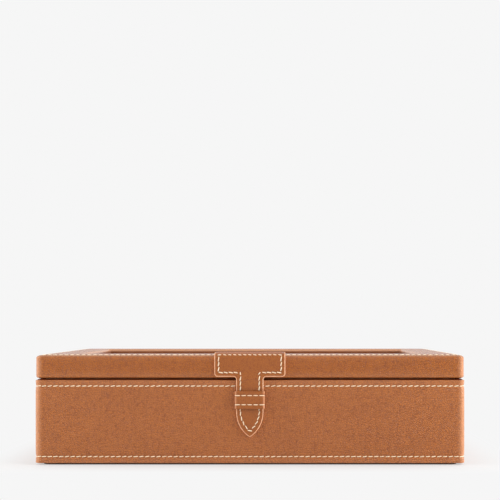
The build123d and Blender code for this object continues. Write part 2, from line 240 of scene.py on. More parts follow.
class Finish:
    """A node tree under construction, of a material or of the surround."""

    def __init__(self, owner, coordinates="Object"):
        owner.use_nodes = True
        self.owner = owner
        self.tree = owner.node_tree
        self.tree.nodes.clear()
        self.place = self.add("ShaderNodeTexCoord", out=coordinates)

    def add(self, kind, settings=None, sockets=None, out=0):
        """Adds any node: its settings first, then the values or links of its sockets."""
        node = self.tree.nodes.new(kind)
        for key, value in (settings or {}).items():
            setattr(node, key, value)
        for key, value in (sockets or {}).items():
            if isinstance(value, Socket):
                self.tree.links.new(value.link, node.inputs[key])
            else:
                node.inputs[key].default_value = value
        return Socket(self, node.outputs[out])

    def noise(self, scale, detail=2.0, place=None, roughness=0.5):
        return self.add("ShaderNodeTexNoise", sockets={"Vector": place or self.place, "Scale": scale,
                                                       "Detail": detail, "Roughness": roughness})

    def stretched(self, scale):
        """The place with each direction scaled by itself, for patterns that run one way."""
        return self.add("ShaderNodeMapping", sockets={"Vector": self.place, "Scale": scale})

    def mix(self, share, first, second):
        """A colour between two colours."""
        return self.add("ShaderNodeMix", {"data_type": "RGBA"}, {0: share, 6: first, 7: second}, out=2)

    def shaken(self, amount, scale):
        """The place moved by a little noise, so that cells and rows aren't straight."""
        drift = self.add("ShaderNodeTexNoise", sockets={"Vector": self.place, "Scale": scale}, out="Color")
        centred = self.add("ShaderNodeVectorMath", {"operation": "SUBTRACT"}, {0: drift, 1: (0.5, 0.5, 0.5)})
        moved = self.add("ShaderNodeVectorMath", {"operation": "SCALE"}, {0: centred, "Scale": amount})
        return self.add("ShaderNodeVectorMath", {"operation": "ADD"}, {0: self.place, 1: moved})

    def cells(self, size, place, feature):
        return self.add("ShaderNodeTexVoronoi", {"feature": feature},
                        {"Vector": place, "Scale": 1 / size}, out="Distance")

    def bump(self, height, distance, strength):
        return self.add("ShaderNodeBump", out="Normal",
                        sockets={"Height": height, "Distance": distance, "Strength": strength})

    def axes(self):
        """The place's three parts: across, along and up."""
        parts = self.add("ShaderNodeSeparateXYZ", sockets={0: self.place}).link.node
        return [Socket(self, part) for part in parts.outputs]

    def near_edge(self, low, high, reach):
        """1 along a box's upright edges, rim_wear along its level ones, and 0 further than reach away."""
        outer = []
        for index, part in enumerate(self.axes()):
            middle, half = (low[index] + high[index]) / 2, (high[index] - low[index]) / 2
            outer.append(abs(part - middle).step(half - reach, half))
        across, along, up = outer
        return across.least(along).most(across.most(along).least(up) * rim_wear)

    def near_window(self):
        """1 in the lid's window, and 0 on the lid a little outside its rolled edge."""
        across, along, _ = self.axes()
        edge = lid_high.x - window_margin, lid_high.y - window_margin
        away = (abs(across) - edge[0]).most(abs(along) - edge[1])
        return 1 - away.step(0.0, 1.2 * window_edge)

    def down_window(self):
        """1 low on the wall of the lid's window, and 0 at the lid's top."""
        _, _, up = self.axes()
        return self.near_window() * (1 - up.step(lid_high.z - window_drop, lid_high.z - 0.3 * window_drop))

    def backdrop_seen(self):
        """1 for rays that meet the background as it looks: straight on, mirrored, or through glass."""
        path = self.add("ShaderNodeLightPath", out="Is Camera Ray")
        for label in ("Is Glossy Ray", "Is Transmission Ray"):
            path = path.most(self.add("ShaderNodeLightPath", out=label))
        return path

    def output(self, shader, kind="ShaderNodeOutputMaterial"):
        end = self.tree.nodes.new(kind)
        self.tree.links.new(shader.link, end.inputs["Surface"])
        return self.owner

    def surface(self, sockets):
        return self.output(self.add("ShaderNodeBsdfPrincipled", sockets=sockets))


def new_finish(name):
    """The node tree of a new material."""
    return Finish(bpy.data.materials.new(name))


def srgb(red, green, blue):
    """A linear colour with alpha from values of 0 to 255 as a picture shows them."""
    def linear(value):
        share = value / 255
        return share / 12.92 if share <= 0.04045 else ((share + 0.055) / 1.055) ** 2.4
    return (linear(red), linear(green), linear(blue), 1.0)


def grained_leather(name, grain, depth, tan, deep_tan, worn_and_lit=None, window=False):
    """Tan leather: pebbles of one grain size, pores, drawn creases and slow changes of tone.

    The edges of a box can be paler, partly wear and partly painted highlight, by (low corner, high corner, reach,
    wear); a window's rolled edge gets a painted highlight, with painted shade low on its wall.
    """
    finish = new_finish(name)
    place = finish.shaken(0.9 * grain, 0.35 / grain)
    pebble = finish.cells(grain, place, "SMOOTH_F1")
    valley = finish.cells(grain, place, "DISTANCE_TO_EDGE").step(0.0, 0.16)
    pores = finish.noise(2.6 / grain, 3.0)
    drawn = finish.noise(1.0, 3.0, finish.stretched((0.34 / grain, 0.34 / grain, 0.07 / grain)))
    creases = abs(drawn - 0.5).step(0.0, 0.06)
    tone = finish.noise(14.0, 2.0)
    mottle = finish.noise(0.5 / grain, 2.0)
    relief = (1 - valley) * 0.6 + (1 - creases) * 0.14 + (pores - 0.5) * 0.35
    shade = relief + (tone - 0.5) * 0.35 + (mottle - 0.5) * 0.6
    colour = finish.mix(shade, tan, deep_tan)
    if worn_and_lit:
        # Pale edges: wear at the box's corners, together with a painted highlight on them
        low, high, reach, wear = worn_and_lit
        pale = srgb(232, 160, 112)
        colour = finish.mix(finish.near_edge(low, high, reach) * wear, colour, pale)
    if window:
        # Painted highlight where the leather rolls into the window, and painted shade low on the window's wall
        pale, dark = srgb(248, 188, 146), srgb(134, 66, 12)
        colour = finish.mix(finish.near_window() * window_highlight, colour, pale)
        colour = finish.mix(finish.down_window(), colour, dark)
    height = valley * 0.5 + (1 - pebble) * 0.35 + pores * 0.14 + creases * 0.12
    roughness = 0.33 + (1 - valley) * 0.14 + (pores - 0.5) * 0.12
    return finish.surface({"Base Color": colour, "Roughness": roughness,
                           "Normal": finish.bump(height, depth, 0.8), "IOR": 1.45,
                           "Coat Weight": 0.35, "Coat Roughness": 0.15, "Coat IOR": 1.4})


def matt_leather():
    """The matt leather of the turned-in rims, its dark colour partly painted shade for the gap between lid and
    base.
    """
    finish = new_finish("unglazed leather")
    fibre = finish.noise(1400.0, 4.0)
    # Dark colour: the rims' own matt leather, darkened as painted shade in the gap between lid and base
    colour = finish.mix(fibre.step(0.3, 0.7), srgb(120, 50, 14), srgb(92, 36, 8))
    return finish.surface({"Base Color": colour, "Roughness": 0.85 + fibre * 0.1, "Specular IOR Level": 0.1,
                           "Normal": finish.bump(fibre, 0.1 * mm, 0.6)})


def painted_edge():
    """The pale, burnished cut edge of doubled leather."""
    finish = new_finish("painted leather edge")
    wear = finish.noise(420.0, 3.0)
    colour = finish.mix(wear.step(0.35, 0.7), srgb(250, 194, 152), srgb(232, 164, 120))
    return finish.surface({"Base Color": colour, "Roughness": 0.36 + wear * 0.12,
                           "Normal": finish.bump(wear, 0.05 * mm, 0.5)})


def waxed_thread():
    """Pale waxed thread, its plies seen as fine ridges."""
    finish = new_finish("waxed thread")
    ply = finish.noise(2400.0, 2.0)
    colour = finish.mix(ply.step(0.35, 0.7), srgb(255, 243, 216), srgb(252, 220, 176))
    return finish.surface({"Base Color": colour, "Roughness": 0.5 + ply * 0.2, "Sheen Weight": 0.2,
                           "Normal": finish.bump(ply, 0.08 * mm, 0.5)})


def suede(name, light, dark):
    """Brushed suede cloth: a short nap that lies in soft strokes, over a fine fibre."""
    finish = new_finish(name)
    fibre = finish.noise(2600.0, 4.0, roughness=0.7)
    strokes = finish.noise(1.0, 3.0, finish.stretched((70.0, 38.0, 55.0)))
    nap = finish.noise(300.0, 3.0, finish.shaken(6 * mm, 90.0))
    shade = strokes.step(0.3, 0.72) * 0.42 + (nap - 0.5) * 0.35 + (fibre - 0.5) * 0.5 + 0.12
    colour = finish.mix(shade, light, dark)
    normal = finish.bump(fibre * 0.7 + nap * 0.3, 0.22 * mm, 0.6)
    return finish.surface({"Base Color": colour, "Roughness": 0.86 + (fibre - 0.5) * 0.15, "Normal": normal,
                           "Sheen Weight": 0.3, "Sheen Roughness": 0.4})


def felt():
    """Pressed felt: matted fibres with no direction."""
    finish = new_finish("pressed felt")
    mat = finish.noise(1500.0, 5.0, roughness=0.75)
    colour = finish.mix(mat.step(0.3, 0.7), srgb(46, 38, 32), srgb(84, 70, 58))
    return finish.surface({"Base Color": colour, "Roughness": 0.9 + mat * 0.1,
                           "Normal": finish.bump(mat, 0.3 * mm, 0.8)})


def fibreboard():
    """Raw fibreboard: pressed fibre with darker flecks."""
    finish = new_finish("fibreboard")
    fibre = finish.noise(900.0, 4.0)
    fleck = finish.noise(260.0, 2.0)
    colour = finish.mix(fibre * 0.6 + fleck.step(0.55, 0.75) * 0.4, srgb(190, 158, 118), srgb(140, 108, 76))
    return finish.surface({"Base Color": colour, "Roughness": 0.8 + (fibre - 0.5) * 0.1,
                           "Normal": finish.bump(fibre, 0.15 * mm, 0.5)})


def satin_brass():
    """Drawn brass with fine lines along the hinge and a little tarnish."""
    finish = new_finish("satin brass")
    lines = finish.noise(1.0, 2.0, finish.stretched((60.0, 2500.0, 2500.0)))
    tarnish = finish.noise(220.0, 3.0)
    colour = finish.mix(tarnish.step(0.45, 0.75) * 0.5, srgb(226, 190, 120), srgb(176, 132, 70))
    return finish.surface({"Base Color": colour, "Metallic": 1.0,
                           "Roughness": 0.26 + lines * 0.14 + tarnish * 0.1,
                           "Normal": finish.bump(lines, 0.03 * mm, 0.4)})


def clear_glass():
    """Clear float glass with faint dust, which lets the light through to the pillows."""
    finish = new_finish("clear glass")
    dust = finish.noise(900.0, 3.0)
    pane = finish.add("ShaderNodeBsdfPrincipled", sockets={
        "Base Color": (0.97, 0.99, 0.98, 1.0), "Roughness": dust.step(0.62, 0.8) * 0.06,
        "Transmission Weight": 1.0, "IOR": 1.5})
    lamp = finish.add("ShaderNodeLightPath", out="Is Shadow Ray")
    clear = finish.add("ShaderNodeBsdfTransparent", sockets={"Color": (0.93, 0.95, 0.94, 1.0)})
    return finish.output(finish.add("ShaderNodeMixShader", sockets={0: lamp, 1: pane, 2: clear}))


def make_finishes():
    """Every material, by the short name that the pieces ask for."""
    tan, deep_tan = srgb(185, 106, 42), srgb(128, 60, 14)
    lid_tan, deep_lid_tan = srgb(176, 96, 16), srgb(124, 54, 6)
    strap_tan, deep_strap_tan = srgb(168, 91, 16), srgb(122, 55, 6)
    beyond = Vector((0, 0, 0.1))
    # Painted highlight: the keeper's bent sides are coloured pale at full strength
    keeper_sides = (keeper_low - beyond, keeper_high + beyond, keeper_highlight_reach, 1.0)
    base_edges = (base_low, base_high, corner_wear_and_highlight_reach, corner_wear_and_highlight)
    lid_edges = (lid_low, lid_high, corner_wear_and_highlight_reach, corner_wear_and_highlight)
    coarse, smooth = (1.5 * mm, 0.6 * mm), (0.9 * mm, 0.16 * mm)
    return {
        "base": grained_leather("grained base leather", *coarse, tan, deep_tan, base_edges),
        "lid": grained_leather("grained lid leather", *coarse, lid_tan, deep_lid_tan, lid_edges, window=True),
        "strap": grained_leather("smooth strap leather", *smooth, strap_tan, deep_strap_tan),
        "keeper": grained_leather("smooth keeper leather", *smooth, strap_tan, deep_strap_tan, keeper_sides),
        "rim": matt_leather(),
        "edge": painted_edge(),
        "thread": waxed_thread(),
        "lining": suede("sand suede lining", srgb(208, 182, 148), srgb(168, 140, 106)),
        "pillow": suede("sand suede pillow", srgb(218, 194, 162), srgb(180, 152, 118)),
        "felt": felt(),
        "board": fibreboard(),
        "brass": satin_brass(),
        "glass": clear_glass(),
    }


finishes = make_finishes()


def placed(name, data):
    """A new object in the scene, at the origin."""
    piece = bpy.data.objects.new(name, data)
    bpy.context.scene.collection.objects.link(piece)
    return piece


def finished_mesh(name, build, materials, smooth_angle=40.0):
    """Makes a mesh object from a bmesh, with its faces outward and smooth where they bend gently."""
    bmesh.ops.remove_doubles(build, verts=build.verts, dist=1e-6)
    bmesh.ops.recalc_face_normals(build, faces=build.faces)
    mesh = bpy.data.meshes.new(name)
    build.to_mesh(mesh)
    build.free()
    for material in materials:
        mesh.materials.append(material)
    for polygon in mesh.polygons:
        polygon.use_smooth = True
    mesh.set_sharp_from_angle(angle=math.radians(smooth_angle))
    return placed(name, mesh)


def corner_arc(inset, z, across, up, start, stop, steps=8):
    """Profile points on a quarter of an ellipse, as (inset, height); angles in degrees from outward to up."""
    angles = [math.radians(start + (stop - start) * step / steps) for step in range(steps + 1)]
    return [(inset - across * math.cos(angle), z + up * math.sin(angle)) for angle in angles]


def seam_depth(distance):
    """How far the thread draws the leather in, at a distance from its row."""
    broad = seam_draw * math.exp(-(distance / seam_draw_reach) ** 2)
    return broad + seam_dip * math.exp(-(distance / seam_dip_reach) ** 2)


def wall_profile(top, bottom, rows):
    """Profile points down a wall, closer together near its rows of stitches."""
    points, z = [], top
    while z > bottom:
        nearest = min(abs(z - row) for row in rows)
        points.append((sum(seam_depth(z - row) for row in rows), z))
        z -= finest_band + band_growth * nearest
    return points


def ring(half_width, half_depth, radius, z, long_steps=44, short_steps=28, corner_steps=8):
    """Points of a rounded rectangle, anticlockwise from the far end of its right side."""
    x, y = half_width - radius, half_depth - radius
    corners = [(x, y, 0), (-x, y, 90), (-x, -y, 180), (x, -y, 270)]
    points = []
    for index, (x, y, start) in enumerate(corners):
        angles = [math.radians(start + 90 * step / corner_steps) for step in range(corner_steps + 1)]
        points += [Vector((x + radius * math.cos(angle), y + radius * math.sin(angle), z))
                   for angle in angles]
        far_x, far_y, far_start = corners[(index + 1) % 4]
        turn = math.radians(far_start)
        near = points[-1]
        far = Vector((far_x + radius * math.cos(turn), far_y + radius * math.sin(turn), z))
        steps = short_steps if index % 2 else long_steps
        points += [near.lerp(far, step / steps) for step in range(1, steps)]
    return points


def skin(name, half_width, half_depth, profile, radius_at, finish, is_matt):
    """Leather drawn round the box: a closed profile of (inset, height) carried round rounded rectangles.

    Bands of the profile for which is_matt holds take the rim's finish.
    """
    build = bmesh.new()
    loops = []
    for inset, z in profile:
        points = ring(half_width - inset, half_depth - inset, radius_at(inset), z)
        loops.append([build.verts.new(point) for point in points])
    count = len(loops[0])
    for index, loop in enumerate(loops):
        after = (index + 1) % len(loops)
        following = loops[after]
        band_finish = 1 if is_matt(profile[index], profile[after]) else 0
        for step in range(count):
            ahead = (step + 1) % count
            face = build.faces.new((loop[step], loop[ahead], following[ahead], following[step]))
            face.material_index = band_finish
    bmesh.ops.recalc_face_normals(build, faces=build.faces)
    build.normal_update()
    for vertex in build.verts:
        hollow = 0.5 + 0.5 * noise.noise(vertex.co / slack_size)
        vertex.co -= vertex.normal * (hollow * slack)
    return finished_mesh(name, build, [finish, finishes["rim"]])


def base_skin():
    """Leather of the base: over the rim, down the walls past two stitch rows, and in under the bottom."""
    top, bottom = base_high.z, base_low.z
    rows = (top - upper_margin, bottom + lower_margin)
    profile = [(rim_width, top - leather), (rim_width, top + rim_lift), (rim_step, top + rim_lift),
               (rim_step - rim_edge, top)]
    profile += corner_arc(rim_edge, top - rim_edge, rim_edge, rim_edge, 88, 8)
    profile += wall_profile(top - rim_edge, bottom + bottom_edge, rows)
    profile += corner_arc(bottom_edge, bottom + bottom_edge, bottom_edge, bottom_edge, -8, -90, 6)
    profile += [(turn_in, bottom), (turn_in, bottom + leather), (skin_depth, bottom + leather),
                (skin_depth, top - leather)]

    def matt(here, there):
        """Whether a band of the profile is turned in over the rim."""
        return min(here[1], there[1]) > top - 1.01 * leather and min(here[0], there[0]) > 0.7 * rim_edge

    piece = skin("base_leather", base_high.x, base_high.y, profile,
                 lambda inset: max(corner_radius - inset, inner_corner), finishes["base"], matt)
    return piece, rows


def lid_top(inset):
    """Height of the lid's leather at a distance in from its edge, without the seam, and how it leans."""
    if inset < pad_reach:
        cosine = (pad_reach - inset) / pad_reach
        sine = math.sqrt(1 - cosine * cosine)
        normal = Vector((pad_drop * cosine, pad_reach * sine)).normalized()
        return lid_high.z - pad_drop + (pad_drop - rail_crown) * sine, normal
    share = (inset - pad_reach) / (window_margin - window_edge - pad_reach)
    return lid_high.z - rail_crown + rail_crown * math.sin(math.pi * share), Vector((0.0, 1.0))


def lid_radius(inset):
    """Corner radius of the lid's leather, from the outer corner to the window's."""
    share = min(1.0, inset / pad_reach)
    return corner_radius + (inner_corner - corner_radius) * share


def lid_skin():
    """Leather of the lid: out of the window, across the rails, over the padded edge and in under the rim."""
    bottom, glass_top = lid_low.z, glass_high.z
    rail_start = window_margin - window_edge
    edge_z = lid_top(rail_start)[0] - window_edge
    profile = [(window_margin, glass_top)]
    profile += [(rail_start + window_edge * math.cos(angle), edge_z + window_edge * math.sin(angle))
                for angle in [math.radians(15 * step) for step in range(7)]]
    rail_steps, pad_steps, wall_steps = 9, 24, 5
    span = rail_start - pad_reach
    insets = [rail_start - span * step / rail_steps for step in range(1, rail_steps)]
    insets += [pad_reach * (1 - math.cos(math.radians(90 * (1 - step / pad_steps))))
               for step in range(pad_steps + 1)]
    profile += [(inset, lid_top(inset)[0] - seam_depth(inset - lid_margin) * lid_seam_share)
                for inset in insets]
    wall_top = lid_high.z - pad_drop
    wall = wall_top - bottom - lid_roll
    profile += [(0.0, wall_top - wall * step / wall_steps) for step in range(1, wall_steps)]
    profile += corner_arc(lid_roll, bottom + lid_roll, lid_roll, lid_roll, 0, -90)
    profile += [(rim_step, bottom - rim_drop), (rim_width, bottom - rim_drop), (rim_width, bottom + leather),
                (lid_roll, bottom + lid_roll), (skin_depth, wall_top - leather), (pad_reach, wall_top),
                (window_margin + leather, wall_top), (window_margin + leather, glass_top)]

    def matt(here, there):
        """Whether a band of the profile is turned in under the rim."""
        return max(here[1], there[1]) < bottom + 1.01 * leather and min(here[0], there[0]) > 0.9 * lid_roll

    return skin("lid_leather", lid_high.x, lid_high.y, profile, lid_radius, finishes["lid"], matt)


def stitch_tree():
    """Geometry nodes that sew a row of slanting stitches along a path of edges.

    The path says which way it runs ("along") and which way the leather faces ("outward").
    """
    tree = bpy.data.node_groups.new("sewn row", "GeometryNodeTree")
    face = tree.interface
    face.new_socket("Geometry", in_out="INPUT", socket_type="NodeSocketGeometry")
    for label in ("Pitch", "Length", "Thread radius", "Slant"):
        face.new_socket(label, in_out="INPUT", socket_type="NodeSocketFloat")
    face.new_socket("Seed", in_out="INPUT", socket_type="NodeSocketInt")
    face.new_socket("Thread", in_out="INPUT", socket_type="NodeSocketMaterial")
    face.new_socket("Geometry", in_out="OUTPUT", socket_type="NodeSocketGeometry")
    nodes, links = tree.nodes, tree.links
    given = nodes.new("NodeGroupInput")
    result = nodes.new("NodeGroupOutput")

    def add(kind, settings=None, sockets=None):
        node = nodes.new(kind)
        for key, value in (settings or {}).items():
            setattr(node, key, value)
        for key, value in (sockets or {}).items():
            if isinstance(value, bpy.types.NodeSocket):
                links.new(value, node.inputs[key])
            else:
                node.inputs[key].default_value = value
        return node

    def times(first, second):
        return add("ShaderNodeMath", {"operation": "MULTIPLY"}, {0: first, 1: second}).outputs[0]

    path = add("GeometryNodeMeshToCurve", sockets={"Mesh": given.outputs["Geometry"]})
    even = add("GeometryNodeResampleCurve", {"mode": "LENGTH"},
               {"Curve": path.outputs["Curve"], "Length": given.outputs["Pitch"]})
    along = add("GeometryNodeInputNamedAttribute", {"data_type": "FLOAT_VECTOR"}, {"Name": "along"})
    outward = add("GeometryNodeInputNamedAttribute", {"data_type": "FLOAT_VECTOR"}, {"Name": "outward"})
    facing = add("FunctionNodeAxesToRotation", {"primary_axis": "X", "secondary_axis": "Z"},
                 {"Primary Axis": along.outputs["Attribute"], "Secondary Axis": outward.outputs["Attribute"]})
    shake = add("FunctionNodeRandomValue", {"data_type": "FLOAT"},
                {"Min": -stitch_shake, "Max": stitch_shake, "Seed": given.outputs["Seed"]})
    tilt = add("ShaderNodeMath", {"operation": "ADD"}, {0: given.outputs["Slant"], 1: shake.outputs[1]})
    turn = add("ShaderNodeCombineXYZ", sockets={"Z": tilt.outputs[0]}).outputs[0]
    slanted = add("FunctionNodeRotateRotation", {"rotation_space": "LOCAL"},
                  {"Rotation": facing.outputs[0],
                   "Rotate By": add("FunctionNodeEulerToRotation", sockets={"Euler": turn}).outputs[0]})

    half = times(given.outputs["Length"], 0.5)
    low = times(given.outputs["Thread radius"], stitch_root)
    high = times(given.outputs["Thread radius"], stitch_crest)
    start = add("ShaderNodeCombineXYZ", sockets={"X": times(half, -1.0), "Z": low}).outputs[0]
    crest = add("ShaderNodeCombineXYZ", sockets={"Z": high}).outputs[0]
    stop = add("ShaderNodeCombineXYZ", sockets={"X": half, "Z": low}).outputs[0]
    line = add("GeometryNodeCurveQuadraticBezier",
               sockets={"Resolution": stitch_segments, "Start": start, "Middle": crest, "End": stop})
    section = add("GeometryNodeCurvePrimitiveCircle",
                  sockets={"Resolution": thread_sides, "Radius": given.outputs["Thread radius"]})
    stitch = add("GeometryNodeCurveToMesh",
                 sockets={"Curve": line.outputs[0], "Profile Curve": section.outputs[0], "Fill Caps": True})
    sewn = add("GeometryNodeInstanceOnPoints",
               sockets={"Points": even.outputs["Curve"], "Instance": stitch.outputs["Mesh"],
                        "Rotation": slanted.outputs[0]})
    solid = add("GeometryNodeRealizeInstances", sockets={"Geometry": sewn.outputs[0]})
    round_off = add("GeometryNodeSetShadeSmooth", sockets={"Geometry": solid.outputs[0]})
    dressed = add("GeometryNodeSetMaterial",
                  sockets={"Geometry": round_off.outputs[0], "Material": given.outputs["Thread"]})
    links.new(dressed.outputs[0], result.inputs["Geometry"])
    return tree


sewing = stitch_tree()


def sew(name, rows, seed, pitch=stitch_pitch, length=stitch_length, radius=thread_radius, slant=stitch_slant):
    """Sews rows of stitches: each row is a list of (place, outward) and whether it closes on itself."""
    mesh = bpy.data.meshes.new(name)
    places, edges, alongs, outwards = [], [], [], []
    for points, closed in rows:
        first, last = len(places), len(points) - 1
        places += [point for point, _ in points]
        outwards += [outward for _, outward in points]
        for index in range(len(points)):
            before = points[index - 1 if closed else max(index - 1, 0)][0]
            after = points[(index + 1) % len(points) if closed else min(index + 1, last)][0]
            alongs.append((after - before).normalized())
        edges += [(first + index, first + index + 1) for index in range(last)]
        if closed:
            edges.append((first + last, first))
    mesh.from_pydata(places, edges, [])
    for label, vectors in (("along", alongs), ("outward", outwards)):
        attribute = mesh.attributes.new(label, "FLOAT_VECTOR", "POINT")
        attribute.data.foreach_set("vector", [value for vector in vectors for value in vector])
    path = placed(name + "_path", mesh)
    modifier = path.modifiers.new("sewing", "NODES")
    modifier.node_group = sewing
    values = {"Pitch": pitch, "Length": length, "Thread radius": radius, "Slant": math.radians(slant),
              "Seed": seed, "Thread": finishes["thread"]}
    for item in sewing.interface.items_tree:
        if item.in_out == "INPUT" and item.name in values:
            modifier[item.identifier] = values[item.name]
    evaluated = path.evaluated_get(bpy.context.evaluated_depsgraph_get())
    made = bpy.data.meshes.new_from_object(evaluated)
    bpy.data.objects.remove(path)
    made.name = name
    return placed(name, made)


def ring_row(points, lean):
    """A stitch path on a closed ring of points, on leather that leans outward and up."""
    up = Vector((0, 0, 1))
    row = []
    for index, point in enumerate(points):
        along = (points[(index + 1) % len(points)] - points[index - 1]).normalized()
        row.append((point, (along.cross(up) * lean.x + up * lean.y).normalized()))
    return row, True


def wall_row(z):
    """A stitch path round the walls of the base at one height."""
    inset = seam_depth(0.0)
    return ring_row(ring(base_high.x - inset, base_high.y - inset, corner_radius, z), Vector((1.0, 0.0)))


def lid_row():
    """A stitch path round the padded edge of the lid."""
    z, lean = lid_top(lid_margin)
    half_width, half_depth = lid_high.x - lid_margin, lid_high.y - lid_margin
    sunk = z - seam_depth(0.0) * lid_seam_share
    return ring_row(ring(half_width, half_depth, lid_radius(lid_margin), sunk), lean)


class StrapLine:
    """The way of the strap's back face: over the lid's padded edge, down its front, and past the base."""

    steps = 60

    def __init__(self):
        self.front = lid_low.y
        self.stand = tail_high.y - lid_low.y
        self.wall_top = lid_high.z - pad_drop
        self.places = []
        length = 0.0
        for step in range(self.steps + 1):
            angle = math.radians(90 * step / self.steps)
            point = Vector((pad_reach * (1 - math.cos(angle)), pad_drop * math.sin(angle)))
            if self.places:
                length += (point - self.places[-1][1]).length
            normal = Vector((-pad_drop * math.cos(angle), pad_reach * math.sin(angle))).normalized()
            self.places.append((length, point, normal))
        lap = tab_high.y - self.front
        self.start = -max(length for length, point, _ in self.places if point.x <= lap)

    def on_pad(self, back):
        """Place and lean on the padded edge, at a distance back over it from the top of the lid's front."""
        for near, far in zip(self.places, self.places[1:]):
            if back <= far[0]:
                share = (back - near[0]) / (far[0] - near[0])
                return near[1].lerp(far[1], share), near[2].lerp(far[2], share).normalized()
        return self.places[-1][1:]

    def along(self, z):
        """Distance down the leather from the top of the lid's front, for a height."""
        return self.wall_top - z

    def place(self, across, along, height):
        """A point height above the leather's back face."""
        if along < 0:
            point, lean = self.on_pad(-along)
            point = point + lean * height
            return Vector((across, self.front + point.x, self.wall_top + point.y))
        z = self.wall_top - along
        share = min(1.0, max(0.0, (lid_low.z + step_above_rim - z) / step_length))
        share = share * share * (3 - 2 * share)
        return Vector((across, self.front + self.stand * share - height, z))

    def outward(self, along):
        """The way the leather faces."""
        if along < 0:
            lean = self.on_pad(-along)[1]
            return Vector((0, lean.x, lean.y))
        return Vector((0, -1, 0))


strap_line = StrapLine()


def turn_points(centre, radius, start, stop, steps=7):
    """Points on an arc in the flat leather, as (across, along), angles in degrees."""
    angles = [math.radians(start + (stop - start) * step / steps) for step in range(steps + 1)]
    return [(centre[0] + radius * math.cos(angle), centre[1] + radius * math.sin(angle)) for angle in angles]


def strap_outline(inset, top_inset=None, corner=None, rise=0.0):
    """The strap laid flat, drawn in by an inset: T bar, neck and pointed tail, as (across, along).

    A row of stitches may have its own inset at the top, one corner radius throughout, and a raised tip.
    """
    top = strap_line.start + (top_inset or inset)
    bar_bottom = strap_line.along(lid_low.z + bar_gap) - inset
    half_bar = tab_high.x - inset
    half_neck = tail_high.x - inset
    convex = corner or max(bar_corner - inset, 0.05 * mm)
    concave = corner or neck_fillet + inset
    radius = tip_radius - inset
    centre_x = tip_radius - tail_high.x
    spring = strap_line.along(tail_low.z + rise) - math.sqrt(tip_radius ** 2 - centre_x ** 2)
    swing = math.degrees(math.acos(centre_x / radius))
    low = bar_bottom - convex
    inner = half_neck + concave
    neck_top = bar_bottom + concave
    side, under, neck, tip = 10, 8, 14, 16
    bar_turn, high = half_bar - convex, top + convex
    right = turn_points((bar_turn, high), convex, -90, 0)
    right += [(half_bar, high + (low - high) * step / side) for step in range(1, side)]
    right += turn_points((bar_turn, low), convex, 0, 90)
    right += [(bar_turn + (inner - bar_turn) * step / under, bar_bottom) for step in range(1, under)]
    right += turn_points((inner, neck_top), concave, -90, -180)
    right += [(half_neck, neck_top + (spring - neck_top) * step / neck) for step in range(1, neck)]
    right += [(across - centre_x, along) for across, along in turn_points((0, spring), radius, 0, swing, tip)]
    left = [(-across, along) for across, along in reversed(right[:-1])]
    return right + left


def sewn_dip(depth, reaches):
    """Points across the groove that a row of stitches presses in, as (distance from the row, depth)."""
    distances = [-reach for reach in reversed(reaches)] + [0.0] + list(reaches)
    return [(distance, depth * math.exp(-(distance / dip_reach) ** 2)) for distance in distances]


def strap_body():
    """The strap as one piece of doubled leather, with rounded, painted edges and a sewn dip."""
    full = strap_thickness
    back_edge = [(0.25 * mm, 0.0), (0.0, 0.3 * mm)]
    front_edge = [(0.0, full - 0.5 * mm), (0.1 * mm, full - 0.22 * mm), (0.32 * mm, full - 0.06 * mm)]
    rings = back_edge + front_edge + [(paint_width, full)]
    painted = len(rings) - 1
    rings += [(strap_margin + distance, full - depth)
              for distance, depth in sewn_dip(strap_dip, (0.5 * mm, 1.0 * mm, 1.6 * mm))]
    build = bmesh.new()
    loops = [[build.verts.new((across, along, height)) for across, along in strap_outline(inset)]
             for inset, height in rings]
    count = len(loops[0])
    for index in range(len(loops) - 1):
        for step in range(count):
            ahead = (step + 1) % count
            face = build.faces.new((loops[index][step], loops[index][ahead],
                                    loops[index + 1][ahead], loops[index + 1][step]))
            face.material_index = 1 if index < painted else 0
    build.faces.new(loops[-1])
    build.faces.new(list(reversed(loops[0])))
    start, stop = strap_line.start, strap_line.along(tail_low.z)
    for step in range(1, strap_bands):
        along = start + (stop - start) * step / strap_bands
        bmesh.ops.bisect_plane(build, geom=build.verts[:] + build.edges[:] + build.faces[:],
                               plane_co=(0, along, 0), plane_no=(0, 1, 0), dist=1e-7)
    bmesh.ops.triangulate(build, faces=[face for face in build.faces if len(face.verts) > 4])
    for vertex in build.verts:
        across, along, height = vertex.co
        vertex.co = strap_line.place(across, along, height)
    return finished_mesh("strap", build, [finishes["strap"], finishes["edge"]], 50.0)


def strap_row():
    """The stitch path all round the strap, further in where it crosses the lid's edge."""
    height = strap_thickness - strap_row_sink
    return [(strap_line.place(across, along, height), strap_line.outward(along))
            for across, along in strap_outline(strap_margin, ridge_margin, row_corner, row_rise)], True


def keeper_path(height):
    """Plan of the keeper's loop at a height above its back face: root, side, front, side, root."""
    half = keeper_high.x - keeper_narrower - keeper_leather + height
    front = keeper_low.y + keeper_leather - height
    radius = keeper_corner - keeper_leather + height
    wall, turn_y, flat = base_low.y, front + radius, half - radius
    side_steps, front_steps = 4, 16
    right = [(half, wall + keeper_root), (half, wall)]
    right += [(half, wall + (turn_y - wall) * step / side_steps) for step in range(1, side_steps)]
    right += [(flat + radius * math.cos(angle), turn_y - radius * math.sin(angle))
              for angle in [math.radians(15 * step) for step in range(7)]]
    middle = [(flat - 2 * flat * step / front_steps, front) for step in range(1, front_steps)]
    return right + middle + [(-x, y) for x, y in reversed(right)]


